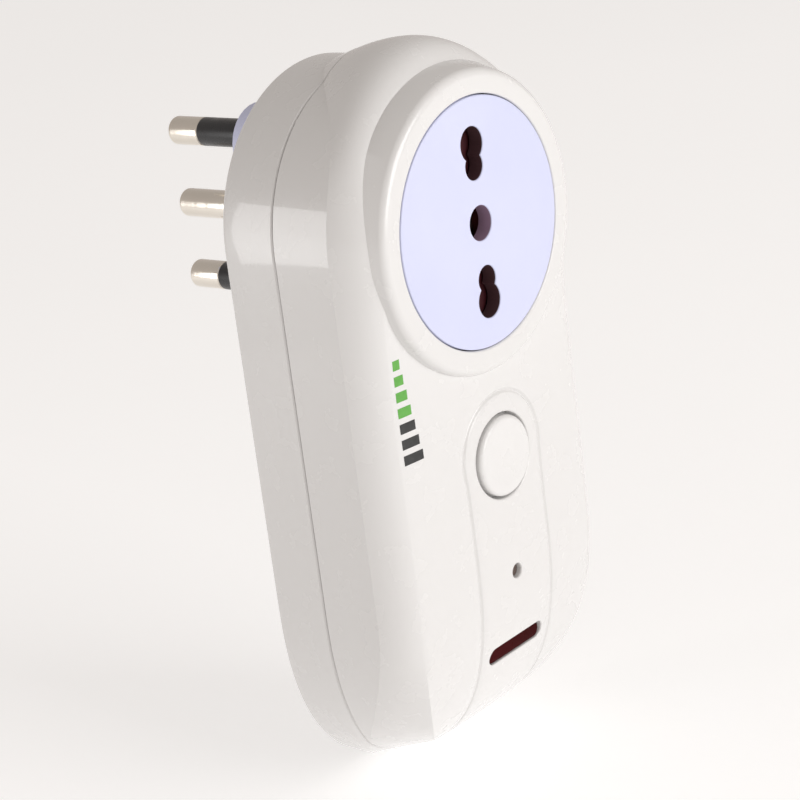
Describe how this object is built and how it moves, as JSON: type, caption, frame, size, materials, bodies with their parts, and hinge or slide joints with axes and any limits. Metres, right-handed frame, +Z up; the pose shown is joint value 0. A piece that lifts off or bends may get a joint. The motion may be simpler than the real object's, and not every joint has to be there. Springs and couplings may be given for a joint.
{
  "type": "plug in power meter",
  "caption": "Plug-through energy meter for in-line three-pin mains sockets, with a round socket in a raised collar, a push button, an indicator hole and a slot window.",
  "frame": {"origin": "on the middle (earth) pin's axis, in the plane of the plug boss's rear face that meets the wall socket", "axes": "+Y into the wall along the pins, -Y out of the socket face, +Z up, +X to the right as seen from the front"},
  "size_m": [0.057, 0.0649, 0.1265],
  "materials": {
    "white_plastic": "glossy off-white moulded plastic",
    "lavender_plastic": "satin pale lavender moulded plastic",
    "black_plastic": "black pin sleeve",
    "inner_plastic": "dark heat-resistant moulding",
    "shutter_plastic": "dark red-brown shutter",
    "nickel": "nickel-plated brass pin",
    "brass": "sprung brass contact",
    "steel": "zinc-plated steel",
    "red_window": "dark red translucent window",
    "clear_lamp": "smoky translucent lamp plastic",
    "board_green": "green solder-resist circuit board",
    "relay_blue": "blue relay case",
    "capacitor_yellow": "yellow film capacitor case",
    "varistor_blue": "blue epoxy-dipped varistor",
    "chip_black": "black moulded component",
    "copper": "bare copper",
    "wire_brown": "brown wire insulation",
    "wire_blue": "blue wire insulation"
  },
  "bodies": {
    "case": {"board_screw_1": "steel", "board_screw_2": "steel", "busbar_earth": "copper", "busbar_neutral": "copper", "case_screw_1": "steel", "case_screw_2": "steel", "case_screw_3": "steel", "case_screw_4": "steel", "contact_carrier": "inner_plastic", "contact_earth": "brass", "contact_line": "brass", "contact_neutral": "brass", "electrolytic_capacitor": "chip_black", "film_capacitor": "capacitor_yellow", "front_cover": "white_plastic", "fuse": "inner_plastic", "indicator_window": "red_window", "light_pipe": "clear_lamp", "main_board": "board_green", "meter_chip": "chip_black", "pin_earth": "nickel", "pin_line": "nickel", "pin_neutral": "nickel", "plug_boss": "lavender_plastic", "radio_antenna": "copper", "radio_module": "steel", "rear_cover": "white_plastic", "relay": "relay_blue", "shunt_resistor": "copper", "shutter_spring": "steel", "sleeve_line": "black_plastic", "sleeve_neutral": "black_plastic", "socket_disc": "lavender_plastic", "socket_screw_left": "steel", "socket_screw_right": "steel", "status_led": "clear_lamp", "tact_switch": "chip_black", "varistor": "varistor_blue", "window_led_left": "clear_lamp", "window_led_right": "clear_lamp", "wire_line": "wire_brown", "wire_load": "wire_brown", "wire_neutral": "wire_blue"},
    "button": {"button_cap": "white_plastic"},
    "switch": {"switch_plunger": "inner_plastic"},
    "shutter": {"shutter": "shutter_plastic"}
  },
  "joints": [
    {"name": "button_press", "type": "slide", "parent": "case", "child": "button", "axis": [0, 1, 0], "range_m": [0, 0.0008], "stiffness_N_per_m": 2400},
    {"name": "plunger_press", "type": "slide", "parent": "case", "child": "switch", "axis": [0, 1, 0], "range_m": [0, 0.001]},
    {"name": "shutter_slide", "type": "slide", "parent": "case", "child": "shutter", "axis": [1, 0, 0], "range_m": [0, 0.0061], "stiffness_N_per_m": 60, "springref_m": -0.001, "deforming": ["shutter_spring"]}
  ],
  "couplings": [
    {"joint": "plunger_press", "follows": "button_press", "ratio": 1}
  ]
}
